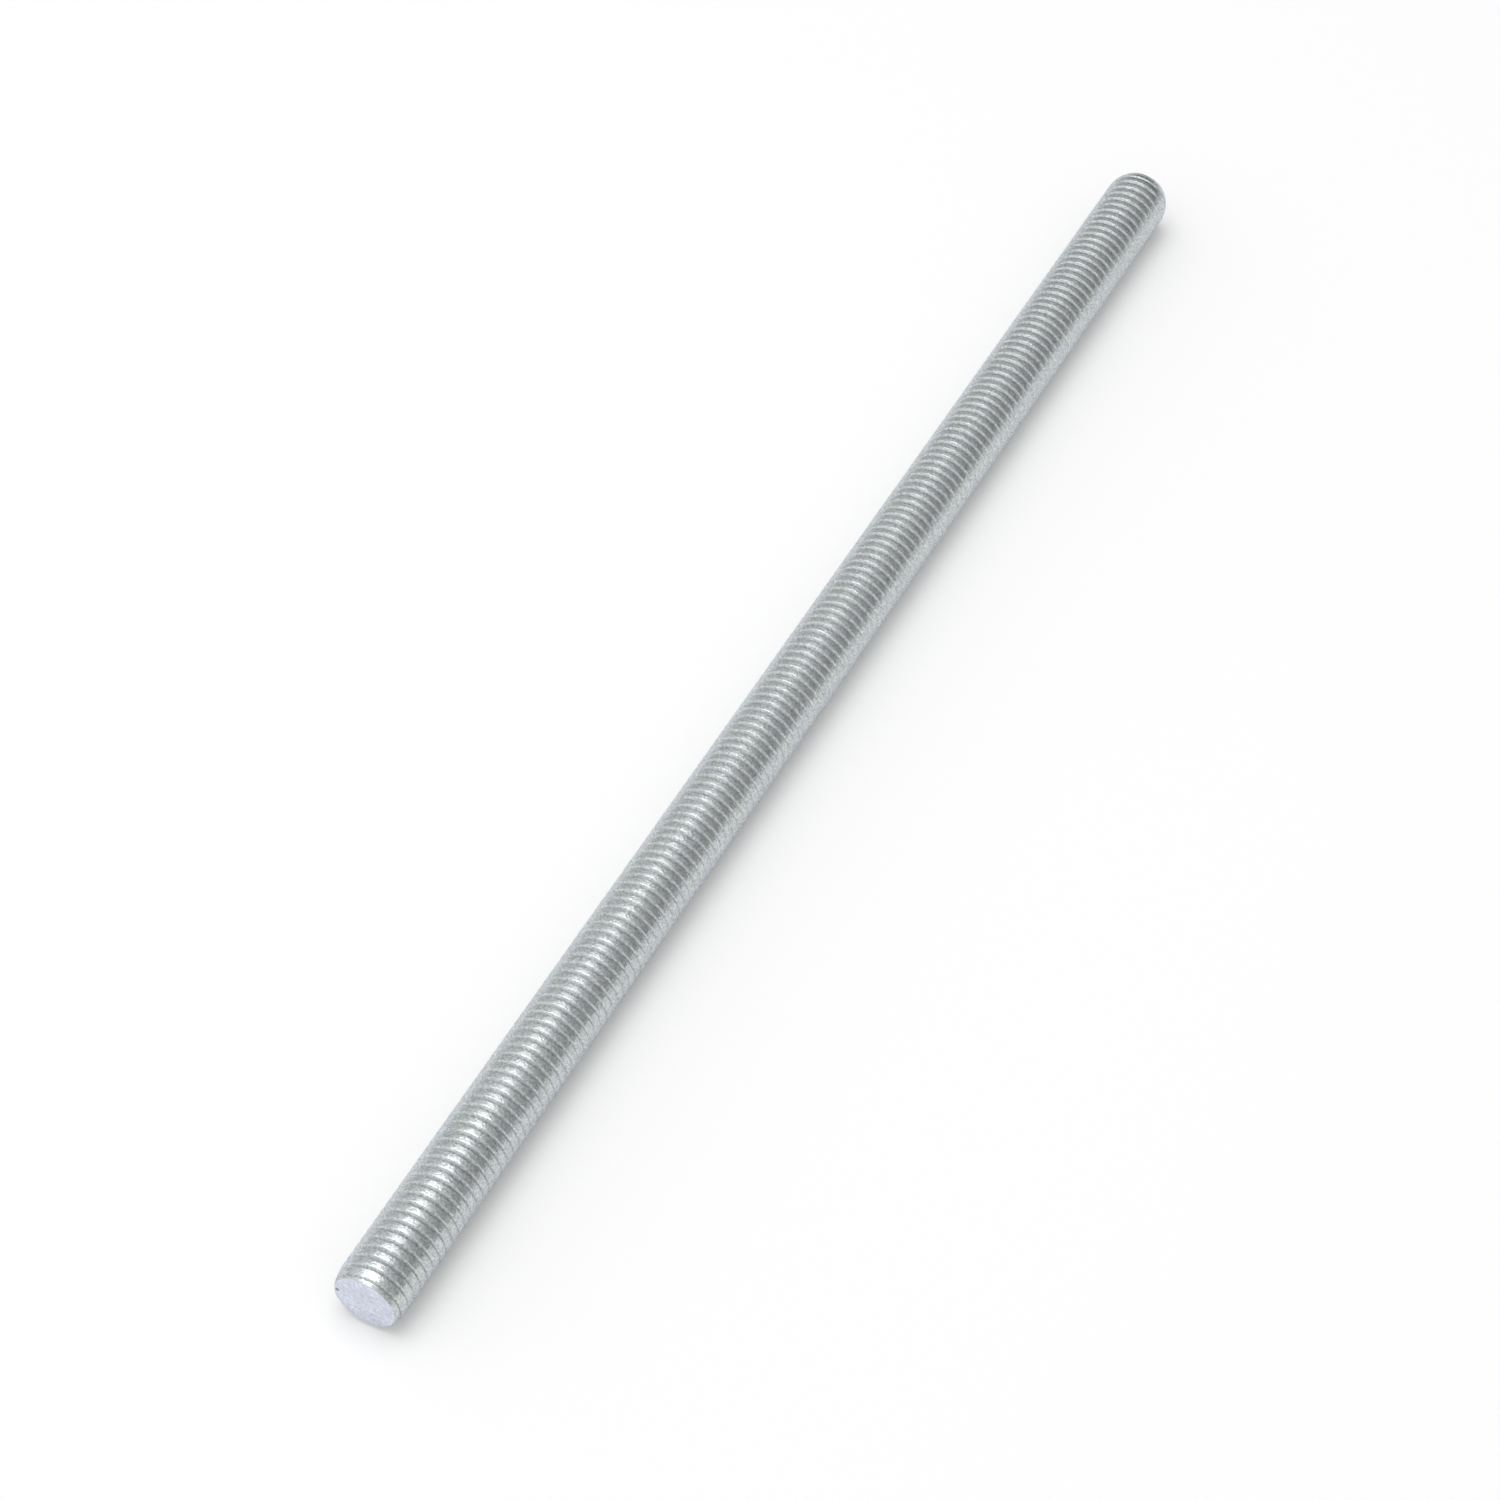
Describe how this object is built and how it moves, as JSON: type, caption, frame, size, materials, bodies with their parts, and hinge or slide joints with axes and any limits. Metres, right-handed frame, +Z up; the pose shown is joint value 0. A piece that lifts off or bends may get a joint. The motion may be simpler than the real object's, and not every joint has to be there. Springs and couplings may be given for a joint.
{
  "type": "threaded rod",
  "caption": "Straight round steel rod threaded along its whole length, with a rounded nose at each end, that takes nuts for clamping, hanging or spacing parts.",
  "frame": {"origin": "the middle of the rod, on its axis", "axes": "+X along the rod, from the end with the broad face to the end with the more rounded nose; +Z up, with the rod lying level"},
  "size_m": [0.192, 0.008, 0.008],
  "materials": {
    "zinc_plated_steel": "bright zinc plating over rolled steel, satin, a little mottled"
  },
  "bodies": {
    "root": {"threaded_rod": "zinc_plated_steel"}
  },
  "joints": []
}
